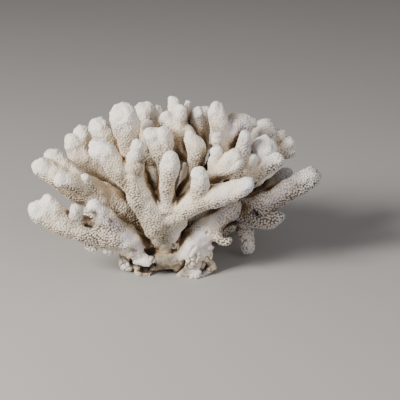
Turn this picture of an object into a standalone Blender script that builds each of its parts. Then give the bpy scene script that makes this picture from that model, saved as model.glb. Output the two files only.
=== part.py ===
"""A dried branching coral, cut off flat at its foot, in metres with +Z up.

The origin lies on the flat foot that the coral rests on, below the trunk of the fan of fingers that
leans out at the front, towards -Y. The skeleton grew in one piece: it is laid out here as tapering
fingers with round ends, melted into one lumpy skin, cut flat below, and sawn through at its main
forks, so that every limb between two forks is a closed solid of its own.
"""

import math

import bmesh
import bpy
import numpy as np
from mathutils import Matrix, Vector, kdtree

# Driving sizes, in metres.
CORAL_WIDTH = 0.236
SAW_GAP = 0.0003
SKIN_VOXEL = 0.0012
LUMP_SPACING = 0.008
LUMP_HEIGHT = 0.0010
PATH_STEP = 0.003

# How often the molten skin is smoothed, and how round the fingers, their ends and the blades are.
SOFTEN_PASSES = 8
FINGER_ROUNDNESS = 3
BLADE_SIDES = 24
SHARP_ANGLE = math.radians(50)

# The layout below is in millimetres of a coral that is LAYOUT_WIDTH wide.
LAYOUT_WIDTH = 236.0
UNIT = CORAL_WIDTH / LAYOUT_WIDTH

# The front view of the layout: an eye at EYE_DISTANCE looks down by VIEW_TILT at VIEW_MIDDLE.
VIEW_TILT = math.radians(20)
EYE_DISTANCE = 1050.0
VIEW_MIDDLE = (27.2, 56.1)

# The whole skin keeps about this many triangles, and the cuts add some.
SKIN_TRIANGLES = 7600

# Each point of a finger is (across, up, back, radius): how far right of the foot's middle and how
# far up it shows in the front view, how far behind the foot's middle it lies, and how thick the
# finger shows there. A limb is a stem with fingers. It is sawn through at sawn_at along its stem by
# a round blade of radius blade.
LIMBS = {
    # the fan that leans towards the front, with its finger and its long arm
    "front_fan": {
        "sawn_at": 30,
        "blade": 15,
        "stem": [
            (-3, 12, -6, 10), (-3, 20, -15, 9), (-3.5, 27, -21.5, 11), (-5, 35, -27, 13),
            (-12, 46, -32, 12.5), (-22, 58, -38, 11), (-28, 72, -44, 10), (-29, 86, -47, 8.8),
            (-26.5, 97, -49, 7), (-26, 102, -50, 6.3),
        ],
        "fingers": [
            [(-1, 37, -28, 12.5), (6, 45, -32, 11.3)],
            [(-12, 47, -32, 11), (-4, 50, -34, 9.5), (4, 49.5, -34, 9)],
            [(-22, 62, -40, 10), (-34, 74, -43, 9.5), (-44, 84, -46, 10), (-52, 94, -48, 10),
             (-57, 97.5, -49, 9)],
            [(-56, 97, -46, 7), (-62, 103, -43, 5)],
        ],
    },
    "front_finger": {
        "sawn_at": 27,
        "blade": 9.5,
        "stem": [
            (-2, 46, -31, 10), (-1, 58, -37, 8.5), (-0.5, 68, -42, 6.8), (0.5, 78, -46, 8),
            (1, 86, -48, 8.3), (1.5, 90, -49, 7.4),
        ],
        "fingers": [],
    },
    "front_arm": {
        "sawn_at": 27,
        "blade": 13,
        "stem": [
            (4, 44, -30, 10), (16, 52, -36, 10.5), (28, 58, -40, 10.5), (42, 60.5, -43, 9.5),
            (56, 64, -45, 8.2), (66.5, 68.5, -46, 7.2),
        ],
        "fingers": [
            [(26, 60, -42, 8), (27, 70, -46, 7.4), (27, 77, -48, 7)],
        ],
    },
    # the left side, from the lowest arm to the tall fingers
    "left_low_arm": {
        "sawn_at": 33,
        "blade": 19,
        "stem": [
            (-18, 10, -10, 12), (-30, 18, -18, 12.5), (-40, 25, -24, 13), (-52, 29, -27, 13),
            (-66, 31, -30, 11.5), (-80, 33, -32, 11.5), (-92, 37, -34, 10.5), (-102, 42, -36, 9.2),
            (-110.5, 46, -37, 8.7),
        ],
        "fingers": [
            [(-88, 39, -34, 8), (-97, 48, -36, 7.8), (-102, 55, -37, 6.8)],
            [(-78, 41, -35, 6), (-78.5, 48, -37, 4.6)],
            [(-49, 33, -29, 10), (-56, 43, -33, 9), (-62.5, 50.5, -36, 6)],
            [(-64, 26, -28, 7), (-65.5, 17, -27, 5.6)],
            [(-51, 22, -25, 7), (-50.5, 15, -25, 5.5)],
        ],
    },
    "left_arm": {
        "sawn_at": 50,
        "blade": 16,
        "stem": [
            (-16, 24, 8, 13), (-28, 38, 8, 12.5), (-42, 50, 5, 13), (-56, 58, 0, 13.5),
            (-70, 64, -6, 13.5), (-83, 70.5, -11, 12), (-96, 78, -15, 9.8), (-107.5, 84, -18, 8),
        ],
        "fingers": [
            [(-72, 68, -14, 9), (-83, 72, -23, 8), (-90, 73.5, -28, 6.6)],
            [(-60, 64, -8, 8), (-67, 72, -17, 5.5), (-70, 75, -20, 4.2)],
            [(-80, 74, -7, 10), (-90, 84, -5, 9.8), (-96.5, 91, -4, 8.8)],
        ],
    },
    "left_upper_arm": {
        "sawn_at": 56,
        "blade": 15,
        "stem": [
            (-14, 34, 18, 12), (-30, 52, 27, 12), (-46, 70, 32, 12), (-62, 84, 32, 12.5),
            (-73, 95, 29, 12), (-79.5, 103, 26, 9.6),
        ],
        "fingers": [
            [(-73, 98, 29, 9), (-73.5, 108, 30, 8), (-73.5, 113, 31, 7.4)],
        ],
    },
    "left_tall_finger": {
        "sawn_at": 57,
        "blade": 11.5,
        "stem": [
            (-12, 44, 16, 10), (-26, 68, 14, 9.5), (-40, 90, 11, 9), (-50, 105, 8, 9),
            (-58, 117.5, 6, 9),
        ],
        "fingers": [],
    },
    "club_finger": {
        "sawn_at": 55,
        "blade": 12.5,
        "stem": [
            (-10, 40, 4, 11), (-20, 62, -2, 10), (-28, 84, -8, 9), (-32.5, 102, -12, 9.2),
            (-35, 114, -14, 10.8), (-38, 126, -15, 12.6),
        ],
        "fingers": [
            [(-33, 108, -11.5, 8.2), (-33, 122, -12, 9)],
        ],
    },
    # the middle, from the club behind to the fingers beside the leaning column
    "rear_club": {
        "sawn_at": 46,
        "blade": 12,
        "stem": [
            (-8, 44, 22, 11), (-13, 68, 27, 10), (-17, 92, 30, 9), (-20, 114, 31, 9),
            (-21, 129, 31, 10.8),
        ],
        "fingers": [
            [(-16, 112, 31, 7), (-11, 124, 33, 6), (-8.5, 132, 34, 5)],
            [(-15, 90, 26, 7), (-17, 106, 20, 6), (-17, 119.5, 15, 5.8)],
        ],
    },
    "toothed_fork": {
        "sawn_at": 47,
        "blade": 11,
        "stem": [
            (-2, 40, 2, 10), (-2.5, 60, -4, 8.5), (-2, 78, -9, 7.2), (-3, 90, -13, 7.8),
            (-8, 102, -17, 9), (-14, 111, -19, 7.2),
        ],
        "fingers": [
            [(-5, 100, -15, 8.4), (-3, 107, -18, 7.8), (-3.5, 112, -19, 7)],
            [(-8, 103, -16, 7.5), (-9.5, 111, -18, 6.6)],
        ],
    },
    "leaning_column": {
        "sawn_at": 50,
        "blade": 10,
        "stem": [
            (8, 42, 4, 11), (16, 60, 1, 9.5), (22, 74, -3, 7), (23, 84, -7, 6.4), (23.5, 93, -11, 7.2),
            (24, 100, -13, 8.6), (20.5, 107.5, -14, 6.4), (18.5, 111.5, -14, 4),
        ],
        "fingers": [
            [(22, 91, -8, 6.5), (15, 96, 1, 7.2), (11.5, 106, 3, 7.8), (9, 117, 1, 8.2),
             (-1, 125, 1, 6.8)],
            [(20, 103, 0, 6), (16, 114, 0, 7)],
            [(10, 116, 3, 8), (7, 126, 6, 7), (5, 134, 8, 5.6), (4, 140.5, 9, 4.9)],
            [(9, 120, 2, 7), (10.5, 131.5, 5, 5.2)],
        ],
    },
    "paired_fingers": {
        "sawn_at": 46,
        "blade": 12,
        "stem": [
            (10, 46, 22, 11), (17, 64, 27, 9.5), (22, 82, 27, 9), (25, 98, 21, 8),
            (25.5, 114, 16, 6.5), (25, 129.5, 13, 6),
        ],
        "fingers": [
            [(22, 94, 24, 6.5), (18, 108, 23, 5.4), (17, 122, 22, 4.8), (17, 138, 22, 4)],
            [(25, 92, 25, 6.5), (29, 104, 28, 5.6), (30.5, 116, 29, 5), (31, 132, 29, 4.8)],
        ],
    },
    # the right side, from the webbed limbs to the low arm with its hanging spur
    "web_limb": {
        "sawn_at": 64,
        "blade": 11,
        "stem": [
            (14, 46, 13, 11), (27, 64, 9, 10), (39, 82, 5.5, 9.3), (45, 98, 2, 9.3), (45, 112, 2, 9),
            (43, 124, 1, 8), (41, 132, 0, 6.2),
        ],
        "fingers": [
            [(46, 106, 4, 9.5), (56, 118, 9, 10.8), (65, 121, 12, 8.5), (70.5, 121.5, 13, 5.5)],
            [(45, 102, 4, 9), (54, 109, 9, 7.5), (62, 115, 12, 6.5)],
            [(42, 98, -4, 5.5), (42, 108, -9, 4.4), (42, 112, -10, 4.2)],
        ],
    },
    "leaf_fork": {
        "sawn_at": 41,
        "blade": 11,
        "stem": [
            (14, 46, -4, 10), (26, 60, -13, 9.5), (36, 72, -20, 8.5), (45, 82, -24, 8.2),
            (52, 90, -26, 7.5), (56, 94, -27, 6.3),
        ],
        "fingers": [
            [(46, 80, -24, 8), (56, 86, -26, 7), (59, 88, -27, 5.2)],
            [(40, 77, -22, 6), (40, 86, -24, 5), (41.5, 97.5, -25, 4.3)],
        ],
    },
    "right_arm": {
        "sawn_at": 54,
        "blade": 13,
        "stem": [
            (16, 40, 14, 11.5), (34, 54, 18.5, 10.5), (50, 67, 19.5, 10), (64, 75, 14, 10.5),
            (75, 84, 9, 11), (81, 95, 6, 11), (82, 100, 5, 11),
        ],
        "fingers": [
            [(58, 74, 12, 7.5), (62, 90, -2, 6.2), (64.5, 104, -7, 5.4), (66, 112, -9, 4.8)],
            [(68, 80, 0, 5.5), (71, 88, -4, 4), (72, 92, -5, 3.3)],
            [(74, 80, 2, 9), (84, 86, -2, 7), (92, 90, -4, 6.2)],
        ],
    },
    "right_rear_arm": {
        "sawn_at": 60,
        "blade": 13.5,
        "stem": [
            (14, 42, 26, 11.5), (34, 58, 36, 11), (52, 76, 42, 11), (68, 94, 42, 10),
            (78, 108, 41, 9.5), (82, 115, 40, 9.8),
        ],
        "fingers": [
            [(76, 98, 41, 8), (88, 107, 42, 7), (95, 110.5, 42, 6)],
            [(72, 88, 40, 8), (86, 94, 38, 7), (98, 98, 35, 6.5), (103, 104, 34, 5.5)],
            [(96, 95, 35, 6), (104, 97.5, 34, 5.2)],
        ],
    },
    "right_low_arm": {
        "sawn_at": 54,
        "blade": 15,
        "stem": [
            (16, 24, 8, 12.5), (34, 32, 10, 12), (50, 40, 9, 11.5), (64, 46, 8, 11.5), (75, 52, 6, 11),
        ],
        "fingers": [
            [(66, 48, 12, 9), (80, 61, 14, 7.5), (93, 71.5, 15, 7), (101, 77, 15, 6.5)],
            [(72, 50, 4, 10.5), (86, 56, -2, 9.8), (100, 63, -7, 9.2), (113, 70.5, -11, 8.6),
             (120.5, 75.5, -13, 8.4)],
            [(68, 44, 4.5, 9.8), (79, 41, -1, 9.8), (88, 41, -3, 7.8), (93.5, 41.5, -4, 5)],
            [(62, 38, 14, 8.5), (66.5, 26, 17, 6.2), (68.2, 15.5, 18, 5.4)],
        ],
    },
    # the back, lower than the front so that the crown stays a low dome
    "back_left_arm": {
        "sawn_at": 46,
        "blade": 14,
        "stem": [
            (-10, 33, 28, 11), (-27, 49, 46, 10.5), (-46, 64, 60, 10), (-64, 75, 67, 9.5),
            (-76, 80, 69, 8.5),
        ],
        "fingers": [
            [(-54, 67, 63, 9), (-57, 80, 74, 8), (-59, 91, 80, 7)],
            [(-50, 65, 63, 9), (-45, 70, 77, 8.5), (-43, 78, 88, 7.5)],
            [(-64, 71, 66, 8), (-72, 74, 80, 7), (-76, 79, 86, 6)],
            [(-45, 69, 76, 7), (-34, 74, 82, 6.5), (-28, 81, 87, 5.5)],
        ],
    },
    "back_middle_arm": {
        "sawn_at": 37,
        "blade": 14,
        "stem": [
            (0, 30, 30, 11), (0, 46, 50, 10.5), (2, 62, 70, 10), (4, 76, 84, 9), (4, 86, 90, 8),
        ],
        "fingers": [
            [(2, 62, 71, 9), (14, 60, 83, 8), (20, 63, 96, 7)],
            [(1, 63, 72, 8.5), (-10, 67, 85, 7.5), (-14, 72, 95, 6.5)],
            [(14, 59, 82, 7), (7, 55, 94, 6.5), (4, 56, 103, 6)],
        ],
    },
    "back_right_arm": {
        "sawn_at": 46,
        "blade": 13,
        "stem": [
            (14, 33, 28, 11), (31, 47, 48, 10.5), (44, 58, 61, 10), (57, 70, 67, 9.5), (70, 81, 68, 8),
        ],
        "fingers": [
            [(57, 68, 66, 9), (58, 79, 78, 8), (58, 88, 84, 7)],
            [(55, 65, 65, 9), (48, 66, 80, 8), (43, 72, 91, 7)],
            [(62, 71, 67, 7.5), (71, 71, 80, 6.5), (74, 72, 88, 5.8)],
            [(47, 67, 81, 7), (37, 71, 87, 6), (32, 78, 90, 5.5)],
        ],
    },
    "back_left_low_arm": {
        "sawn_at": 38,
        "blade": 13.5,
        "stem": [
            (-12, 19, 24, 12), (-26, 26.5, 44, 10), (-42, 34, 62, 10), (-56, 41, 74, 9), (-64, 46, 80, 8),
        ],
        "fingers": [
            [(-46, 37, 66, 8.5), (-39, 41, 83, 7.5), (-35, 47, 96, 6.5)],
            [(-54, 43, 72, 8), (-54, 51, 81, 7), (-53, 59, 86, 6)],
            [(-39, 43, 82, 6.5), (-26, 44, 91, 6), (-18, 46, 97, 5.2)],
        ],
    },
    "back_right_low_arm": {
        "sawn_at": 40,
        "blade": 13,
        "stem": [
            (12, 19, 24, 12), (28, 26, 44, 10), (44, 33, 62, 9.5), (56, 40, 74, 9), (64, 45, 82, 8),
        ],
        "fingers": [
            [(46, 35, 66, 8.5), (40, 40, 83, 7.5), (37, 46, 96, 6.5)],
            [(54, 42, 72, 7.5), (61, 50, 78, 6.3), (65, 55, 82, 5.5)],
            [(41, 41, 81, 6.5), (29, 43, 89, 6), (23, 45, 95, 5.2)],
        ],
    },
    "back_crown": {
        "sawn_at": 27,
        "blade": 13,
        "stem": [
            (0, 50, 32, 11), (-3, 66, 45, 9.5), (-8, 80, 54, 10), (-16, 93, 59, 9), (-26, 107, 60, 8),
        ],
        "fingers": [
            [(-9, 83, 56, 9), (9, 95, 62, 8.5), (22, 107, 65, 7.5)],
            [(-10, 86, 57, 8), (-5, 102, 60, 7), (-5, 115, 57, 6.5)],
            [(-14, 91, 59, 7.5), (-21, 94, 74, 7), (-27, 99, 80, 6)],
            [(9, 95, 62, 7.5), (13, 97, 77, 7), (15, 102, 85, 6)],
            [(12, 98, 63, 7), (30, 104, 66, 6.5), (41, 110, 66, 5.8)],
        ],
    },
}

# The encrusted foot: its core, the lumps of its left side, those of its right side, and a low spur.
HOLDFAST = [
    [(0, 10, 6, 17), (-2, 22, 4, 17), (0, 36, 8, 15)],
    [(-26, 8, 0, 13), (-14, 14, 20, 13)],
    [(12, 14, 22, 14), (24, 10, -2, 13)],
    [(0, 18, 34, 14), (0, 21, 46, 10)],
    [(-22, 5, -11, 10), (-14, 5, -9, 10)],
    [(-24, 4, -21, 7), (-17, 4.5, -22, 7.4)],
    [(-33, 4, -10, 8), (-34, 12, -6, 8)],
    [(-23, -5.5, -17, 5.5), (-17, -7, -18, 5)],
    [(-5.5, 7, -16, 9.5), (4, 7.5, -16, 9.5)],
    [(-13, 17, -16, 4), (-4, 18.5, -21, 3.2), (6, 18.5, -21, 3.6)],
    [(20, 0, -16, 12), (18, 11, -17, 12)],
    [(28, 4, -15, 8), (31, 14, -18, 7.5), (34.5, 17, -20, 5.4)],
    [(23, -6, -23, 6), (35, -1, -15, 5.5)],
    [(11, -4, -18, 7), (15, 2, -16, 8)],
    [(20, 10, -18, 13), (21.5, 19.5, -18, 12.5), (32, 29.5, -17, 11), (44, 39.5, -16, 9),
     (54, 47, -15, 7.5), (57, 49, -15, 6)],
    [(38, 30, -19, 8), (46, 24, -22, 6), (50, 22.5, -23, 4.6)],
]

# The low arch worn into the foot's front, as the middle of a ball and its radius.
ARCH = (-3, -16, -20, 13)

# The colour of the dried skeleton, and of the limbs that differ from it.
BONE = (0.76, 0.71, 0.62)
LIMB_COLOURS = {
    "holdfast": (0.58, 0.55, 0.48),
    "right_low_arm": (0.50, 0.46, 0.42),
    "left_low_arm": (0.68, 0.64, 0.57),
}
BONE_ROUGHNESS = 0.85

FORWARD = np.array([0.0, math.cos(VIEW_TILT), -math.sin(VIEW_TILT)])
UPWARD = np.array([0.0, math.sin(VIEW_TILT), math.cos(VIEW_TILT)])
RIGHTWARD = np.array([1.0, 0.0, 0.0])


def real_points(layout_points):
    """Rows (x, y, z, radius) in metres: each layout point slid along its sight line to its depth."""
    rows = np.asarray(layout_points, float)
    eye = VIEW_MIDDLE[0] * RIGHTWARD + VIEW_MIDDLE[1] * UPWARD - EYE_DISTANCE * FORWARD
    shown = rows[:, :1] * RIGHTWARD + rows[:, 1:2] * UPWARD
    reach = ((rows[:, 2] - eye[1]) / (shown[:, 1] - eye[1]))[:, None]
    places = eye + reach * (shown - eye)
    return UNIT * np.hstack([places, rows[:, 3:] * reach])


def smooth_path(layout_points):
    """Rows (x, y, z, radius) along a Catmull-Rom curve through the points, PATH_STEP apart."""
    rows = real_points(layout_points)
    knots = np.vstack([2 * rows[0] - rows[1], rows, 2 * rows[-1] - rows[-2]])
    pieces = []
    for before, start, end, after in zip(knots, knots[1:], knots[2:], knots[3:]):
        count = max(2, round(np.linalg.norm((end - start)[:3]) / PATH_STEP))
        t = np.linspace(0, 1, count, endpoint=False)[:, None]
        straight = start + 0.5 * t * (end - before)
        bend = 0.5 * t**2 * (2 * before - 5 * start + 4 * end - after)
        pieces.append(straight + bend + 0.5 * t**3 * (3 * start - before - 3 * end + after))
    return np.vstack(pieces + [rows[-1:]])


def point_along(path, distance):
    """The place, heading and radius at a distance in metres along a path."""
    steps = np.linalg.norm(np.diff(path[:, :3], axis=0), axis=1)
    travelled = np.concatenate([[0], np.cumsum(steps)])
    at = [np.interp(distance, travelled, column) for column in path.T]
    index = int(np.searchsorted(travelled, distance))
    heading = path[min(index + 1, len(path) - 1), :3] - path[index - 1, :3]
    return Vector(at[:3]), Vector(heading).normalized(), at[3]


def link(name, mesh):
    thing = bpy.data.objects.new(name, mesh)
    bpy.context.collection.objects.link(thing)
    return thing


def finished_mesh(thing):
    """A new mesh of the object with its modifiers applied."""
    bpy.context.view_layer.update()
    graph = bpy.context.evaluated_depsgraph_get()
    return bpy.data.meshes.new_from_object(thing.evaluated_get(graph))


def finger_tubes():
    """One mesh of every finger: a round tube whose radius follows its path, with a ball at each end."""
    fingers = list(HOLDFAST)
    for limb in LIMBS.values():
        fingers += [limb["stem"]] + limb["fingers"]
    paths = [smooth_path(points) for points in fingers]

    curve = bpy.data.curves.new("finger_axes", "CURVE")
    curve.dimensions = "3D"
    curve.bevel_depth = 1.0
    curve.bevel_resolution = FINGER_ROUNDNESS
    curve.use_fill_caps = True
    for path in paths:
        spline = curve.splines.new("POLY")
        spline.points.add(len(path) - 1)
        spline.points.foreach_set("co", np.insert(path[:, :3], 3, 1.0, axis=1).ravel())
        spline.points.foreach_set("radius", path[:, 3])
    axes = link("finger_axes", curve)
    tubes = finished_mesh(axes)
    bpy.data.objects.remove(axes)

    mesh = bmesh.new()
    mesh.from_mesh(tubes)
    for path in paths:
        for end in (path[0], path[-1]):
            bmesh.ops.create_icosphere(
                mesh,
                subdivisions=FINGER_ROUNDNESS,
                radius=end[3],
                matrix=Matrix.Translation(end[:3]),
            )
    mesh.to_mesh(tubes)
    mesh.free()
    return tubes


def coral_skin():
    """The fingers melted into one closed lumpy skin."""
    skin = link("skin", finger_tubes())
    melt = skin.modifiers.new("melt", "REMESH")
    melt.mode = "VOXEL"
    melt.voxel_size = SKIN_VOXEL
    soften = skin.modifiers.new("soften", "SMOOTH")
    soften.factor = 0.5
    soften.iterations = SOFTEN_PASSES
    lumps = bpy.data.textures.new("lumps", "CLOUDS")
    lumps.noise_scale = LUMP_SPACING
    bulge = skin.modifiers.new("bulge", "DISPLACE")
    bulge.texture = lumps
    bulge.strength = LUMP_HEIGHT
    bulge.mid_level = 0.5
    fine = finished_mesh(skin)
    thin_out = skin.modifiers.new("thin_out", "DECIMATE")
    thin_out.ratio = SKIN_TRIANGLES / (2 * len(fine.polygons))
    return skin


def saw_cuts(stems):
    """The cutter: a thin round blade across each stem, the floor block and the arch in the foot."""
    mesh = bmesh.new()
    for name, stem in stems.items():
        place, heading = point_along(stem, LIMBS[name]["sawn_at"] * UNIT)[:2]
        turn = heading.to_track_quat("Z", "Y").to_matrix().to_4x4()
        bmesh.ops.create_cone(
            mesh,
            cap_ends=True,
            segments=BLADE_SIDES,
            radius1=LIMBS[name]["blade"] * UNIT,
            radius2=LIMBS[name]["blade"] * UNIT,
            depth=SAW_GAP,
            matrix=Matrix.Translation(place) @ turn,
        )
    arch = real_points([ARCH])[0]
    bmesh.ops.create_icosphere(
        mesh, subdivisions=2, radius=arch[3], matrix=Matrix.Translation(arch[:3])
    )
    block = Matrix.Diagonal((2 * CORAL_WIDTH, 2 * CORAL_WIDTH, CORAL_WIDTH, 1))
    bmesh.ops.create_cube(mesh, size=1, matrix=Matrix.Translation((0, 0, -CORAL_WIDTH / 2)) @ block)
    cutter = link("saw_cuts", bpy.data.meshes.new("saw_cuts"))
    mesh.to_mesh(cutter.data)
    mesh.free()
    cutter.display_type = "WIRE"
    cutter.hide_render = True
    return cutter


def loose_parts(mesh):
    """For each vertex, the number of the closed body that it belongs to."""
    solid = bmesh.new()
    solid.from_mesh(mesh)
    numbers = np.full(len(solid.verts), -1)
    found = 0
    for seed in solid.verts:
        if numbers[seed.index] >= 0:
            continue
        numbers[seed.index] = found
        front = [seed]
        while front:
            for edge in front.pop().link_edges:
                for vertex in edge.verts:
                    if numbers[vertex.index] < 0:
                        numbers[vertex.index] = found
                        front.append(vertex)
        found += 1
    solid.free()
    return numbers


def name_parts(mesh, numbers, stems):
    """The body number of each limb, read just past its cut, and of the holdfast, read at the foot."""
    tree = kdtree.KDTree(len(mesh.vertices))
    for vertex in mesh.vertices:
        tree.insert(vertex.co, vertex.index)
    tree.balance()
    bodies = {"holdfast": numbers[tree.find((0, 0, 0))[1]]}
    for name, stem in stems.items():
        cut = LIMBS[name]["sawn_at"] * UNIT
        radius = point_along(stem, cut)[2]
        bodies[name] = numbers[tree.find(point_along(stem, cut + radius)[0])[1]]
    together = [name for name, body in bodies.items() if list(bodies.values()).count(body) > 1]
    if together:
        raise ValueError("these limbs are still one body: " + ", ".join(together))
    return bodies


def limb_mesh(name, mesh, keep):
    """A mesh of the faces whose vertices are kept."""
    solid = bmesh.new()
    solid.from_mesh(mesh)
    drop = [vertex for vertex in solid.verts if not keep[vertex.index]]
    bmesh.ops.delete(solid, geom=drop, context="VERTS")
    bmesh.ops.triangulate(solid, faces=solid.faces)
    piece = bpy.data.meshes.new(name)
    solid.to_mesh(piece)
    solid.free()
    piece.shade_smooth()
    piece.set_sharp_from_angle(angle=SHARP_ANGLE)
    return piece


def bone(name):
    """The dried skeleton's material in this limb's own tone."""
    material = bpy.data.materials.new(name + "_bone")
    material.use_nodes = True
    shader = material.node_tree.nodes["Principled BSDF"]
    shader.inputs["Base Color"].default_value = (*LIMB_COLOURS.get(name, BONE), 1)
    shader.inputs["Roughness"].default_value = BONE_ROUGHNESS
    shader.inputs["Metallic"].default_value = 0.0
    return material


def build_coral():
    for thing in list(bpy.data.objects):
        bpy.data.objects.remove(thing)
    stems = {name: smooth_path(limb["stem"]) for name, limb in LIMBS.items()}
    skin = coral_skin()
    cutter = saw_cuts(stems)
    saw = skin.modifiers.new("saw", "BOOLEAN")
    saw.operation = "DIFFERENCE"
    saw.solver = "EXACT"
    saw.use_self = True
    saw.object = cutter
    sawn = finished_mesh(skin)
    for helper in (skin, cutter):
        bpy.data.objects.remove(helper)

    numbers = loose_parts(sawn)
    for name, body in name_parts(sawn, numbers, stems).items():
        limb = link(name, limb_mesh(name, sawn, numbers == body))
        limb.data.materials.append(bone(name))


build_coral()
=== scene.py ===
"""A dried branching coral: ivory fingers covered with fine grains, rising from one encrusted foot.

Metres, +Z up, the front towards -Y. Every finger is a round tube carried along a smooth path. The
tubes are melted into one skin, the skin gets lumps, grains, pits and crust as heights along its
normals, and it is then shared out among the limbs at the same cuts as the solids.
"""

import math

import bpy
import numpy as np
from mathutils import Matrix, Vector


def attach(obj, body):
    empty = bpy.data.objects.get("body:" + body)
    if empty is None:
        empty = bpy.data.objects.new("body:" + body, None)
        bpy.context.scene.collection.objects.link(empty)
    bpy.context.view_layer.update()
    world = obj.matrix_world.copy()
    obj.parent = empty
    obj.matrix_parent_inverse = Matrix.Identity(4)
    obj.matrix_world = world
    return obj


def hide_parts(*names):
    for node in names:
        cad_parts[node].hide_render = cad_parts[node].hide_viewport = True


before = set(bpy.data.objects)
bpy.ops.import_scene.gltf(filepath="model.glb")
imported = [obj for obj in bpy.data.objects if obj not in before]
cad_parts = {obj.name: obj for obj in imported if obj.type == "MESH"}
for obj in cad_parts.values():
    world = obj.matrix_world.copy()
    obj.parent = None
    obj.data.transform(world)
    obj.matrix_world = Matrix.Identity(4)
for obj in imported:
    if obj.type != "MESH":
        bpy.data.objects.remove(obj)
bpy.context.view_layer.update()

# The layout is in millimetres. Each point of a finger is (across, up, back, radius): how far right
# of the foot's middle and how far up it shows in the front view, how far behind the foot's middle
# it lies, and how thick the finger shows there.
MM = 0.001
VIEW_TILT = math.radians(20)
EYE_DISTANCE = 1050.0
VIEW_MIDDLE = (27.2, 56.1)
VIEW_WIDTH = 340.0

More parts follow.
